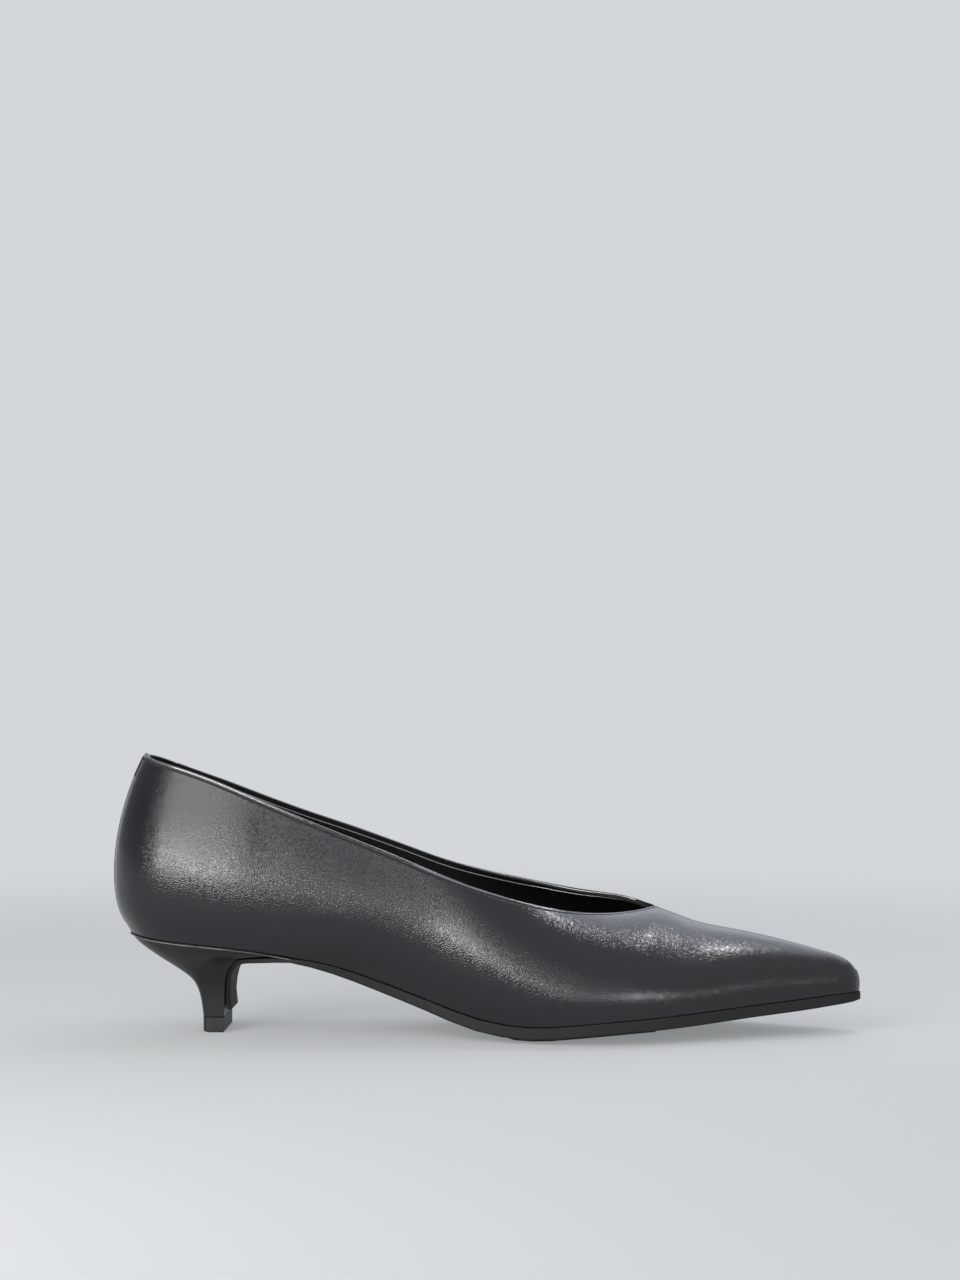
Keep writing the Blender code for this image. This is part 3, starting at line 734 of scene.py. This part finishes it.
def make_upper():
    """Smooth skin of the upper with rounded edges, leather outside and lining inside."""
    piece = copy_of("upper", "upper_leather")
    rim = collar_rim(piece.data)
    mark_lining(piece)
    new_modifier(piece, "BEVEL", width=0.45 * MM, segments=2, limit_method="ANGLE",
                 angle_limit=SHARP)
    new_modifier(piece, "SUBSURF", levels=2, render_levels=2)
    apply_modifiers(piece)
    fold_skin(piece)
    smooth(piece, math.radians(80))
    store_distance(piece, "from_edge", [here.outer for here in rim])
    return piece, rim


def back_point(piece, y, z, inside=False):
    """Point and normal of the upper's back wall at a height, on its outside or its inside."""
    x = LOW.x + (BACK_REACH if inside else -BACK_REACH)
    hit, place, normal, _ = piece.ray_cast((x, y, z), (-1 if inside else 1, 0, 0),
                                           distance=BACK_RAY)
    return (place, normal) if hit else None


def back_top(piece):
    """Height of the collar at the very back."""
    return max(v.co.z for v in piece.data.vertices if v.co.x < LOW.x + BACK_REACH)


def make_back_seam(piece):
    """Two lips of leather that meet down the back."""
    top = back_top(piece) - TAB_LENGTH / 2
    low = min(v.co.z for v in piece.data.vertices if v.co.x < LOW.x + BACK_REACH / 2)
    for name, side in (("back_seam_outer", OUTER), ("back_seam_inner", INNER)):
        points = []
        for i in range(SEAM_POINTS):
            z = low + (top - low) * i / (SEAM_POINTS - 1)
            found = back_point(piece, side * SEAM_SPREAD, z)
            if found:
                points.append(found[0] - SEAM_SUNK * found[1])
        lip = make_tube(name, points, SEAM_RADIUS)
        dress(lip, seam_leather("seam lip"), "upper")


def tab_rows(top):
    """Rows of the tab's grid, up the outside, over the collar and down the inside: each is its
    height on the back wall and whether it lies inside. The row over the collar has neither."""
    rows = [(top - TAB_LENGTH * (1 - i / TAB_ROWS_OUTSIDE), False)
            for i in range(TAB_ROWS_OUTSIDE)]
    rows += [(top - TAB_SHOULDER, False), None, (top - TAB_SHOULDER, True)]
    return rows + [(top - TAB_INSIDE * i / TAB_ROWS_INSIDE, True)
                   for i in range(1, TAB_ROWS_INSIDE + 1)]


def tab_point(piece, y, row, top):
    """Where a point of the tab's grid lies."""
    if row:
        place, normal = back_point(piece, y, *row)
        return place + TAB_LIFT * normal
    outer, _ = back_point(piece, y, top - TAB_SHOULDER)
    inner, _ = back_point(piece, y, top - TAB_SHOULDER, inside=True)
    place = (outer + inner) / 2
    place.z = top + TAB_OVER
    return place


def make_back_tab(piece):
    """Strip of leather folded over the top of the back seam."""
    top = back_top(piece)
    rows = tab_rows(top)
    deselect()
    bpy.ops.mesh.primitive_grid_add(x_subdivisions=len(rows) - 1,
                                    y_subdivisions=TAB_COLUMNS - 1, size=TAB_WIDTH)
    tab = bpy.context.object
    tab.name = tab.data.name = "back_tab"
    across = sorted({round(v.co.x, 7) for v in tab.data.vertices})
    for v in tab.data.vertices:
        v.co = tab_point(piece, v.co.y, rows[across.index(round(v.co.x, 7))], top)
    activate(tab)
    bpy.ops.object.mode_set(mode="EDIT")
    bpy.ops.mesh.select_all(action="SELECT")
    bpy.ops.mesh.normals_make_consistent(inside=False)
    bpy.ops.object.mode_set(mode="OBJECT")
    if tab.data.polygons[0].normal.x > 0:
        tab.data.flip_normals()
    new_modifier(tab, "SOLIDIFY", thickness=TAB_THICKNESS, offset=1)
    new_modifier(tab, "BEVEL", width=0.2 * MM, segments=2, limit_method="ANGLE", angle_limit=SHARP)
    new_modifier(tab, "SUBSURF", levels=2, render_levels=2)
    apply_modifiers(tab)
    smooth(tab, math.radians(70))
    dress(tab, seam_leather("tab leather"), "upper")


def dress_upper():
    """The upper with its edge roll, lining edge, back seam and tab."""
    piece, rim = make_upper()
    piece.data.materials.append(upper_leather())
    piece.data.materials.append(lining_leather())
    dress(piece, None, "upper", "upper")
    edge = make_tube("edge_roll", edge_roll_line(rim), EDGE_ROLL_RADIUS, True)
    # the edge roll's pale colour is a painted highlight
    dress(edge, edge_leather("folded edge", FOLDED_EDGE_HIGHLIGHT_COLOUR), "upper")
    line = [here.inner + LINING_EDGE_DEPTH * here.inner_down for here in rim]
    lining_edge = make_tube("lining_edge", line, LINING_EDGE_RADIUS, True)
    # pale lining edge: its raw edge with a painted highlight
    dress(lining_edge, edge_leather("lining edge", LINING_EDGE_LIT_COLOUR), "insole")
    make_back_seam(piece)
    make_back_tab(piece)


# Insole, sole and heel


def merge_points(piece):
    """Merge points that a bevel has run together."""
    activate(piece)
    bpy.ops.object.mode_set(mode="EDIT")
    bpy.ops.mesh.select_all(action="SELECT")
    bpy.ops.mesh.remove_doubles(threshold=BEVEL_MERGE)
    bpy.ops.mesh.dissolve_degenerate(threshold=BEVEL_MERGE)
    bpy.ops.object.mode_set(mode="OBJECT")


def round_edges(piece, width, levels):
    """Round a piece's sharp edges, divide its faces and shade them smooth."""
    new_modifier(piece, "BEVEL", width=width, segments=2, limit_method="ANGLE", angle_limit=SHARP)
    if levels:
        new_modifier(piece, "SUBSURF", levels=levels, render_levels=levels)
    apply_modifiers(piece)
    merge_points(piece)
    smooth(piece)


def top_outline(mesh):
    """Corners along a solid's upper edge, from its front on one side, round its back, to its
    front on the other, and their mean."""
    bm = bmesh.new()
    bm.from_mesh(mesh)
    corners = set()
    for edge in bm.edges:
        facing_up = sorted(face.normal.z for face in edge.link_faces)
        from_side_to_top = facing_up[0] < FACING_SIDE and facing_up[-1] > FACING_UP
        if edge.calc_face_angle() > SHARP and from_side_to_top:
            corners.update(edge.verts)
    points = [v.co.copy() for v in sorted(corners, key=lambda v: v.index)]
    bm.free()
    middle = sum(points, Vector()) / len(points)
    return sorted(points, key=lambda p: math.atan2(middle.y - p.y, middle.x - p.x)), middle


def make_heel_edge(mesh):
    """Cord along the edge of the heel's cover, just under the upper, pale with a painted highlight.
    """
    corners, middle = top_outline(mesh)
    points = []
    for corner in corners:
        inward = Vector((middle.x - corner.x, middle.y - corner.y, 0)).normalized()
        points.append(corner + HEEL_EDGE_IN * inward - Vector((0, 0, HEEL_EDGE_DOWN)))
    dress(make_tube("heel_edge", points, HEEL_EDGE_RADIUS), painted_heel_edge_highlight(), "heel")


def dress_underside():
    """Insole, sole, heel and top piece with their own finishes."""
    sock = copy_of("insole", "insole_sock")
    round_edges(sock, width=0.4 * MM, levels=1)
    dress(sock, lining_leather(), "insole", "insole")
    sole = copy_of("outsole", "outsole_body")
    round_edges(sole, width=0.2 * MM, levels=0)
    dress(sole, sole_rubber(), "outsole", "outsole")
    plain_heel = copy_of("heel", "plain_heel")
    make_heel_edge(plain_heel.data)
    bpy.data.objects.remove(plain_heel)
    heel = copy_of("heel", "heel_cover")
    round_edges(heel, width=0.4 * MM, levels=2)
    dress(heel, heel_cover(), "heel", "heel")
    tip = copy_of("top_piece", "heel_tip")
    round_edges(tip, width=0.25 * MM, levels=1)
    dress(tip, tip_plastic(), "top_piece", "top_piece")


dress_upper()
dress_underside()

make_camera()
make_lights()
make_floor()
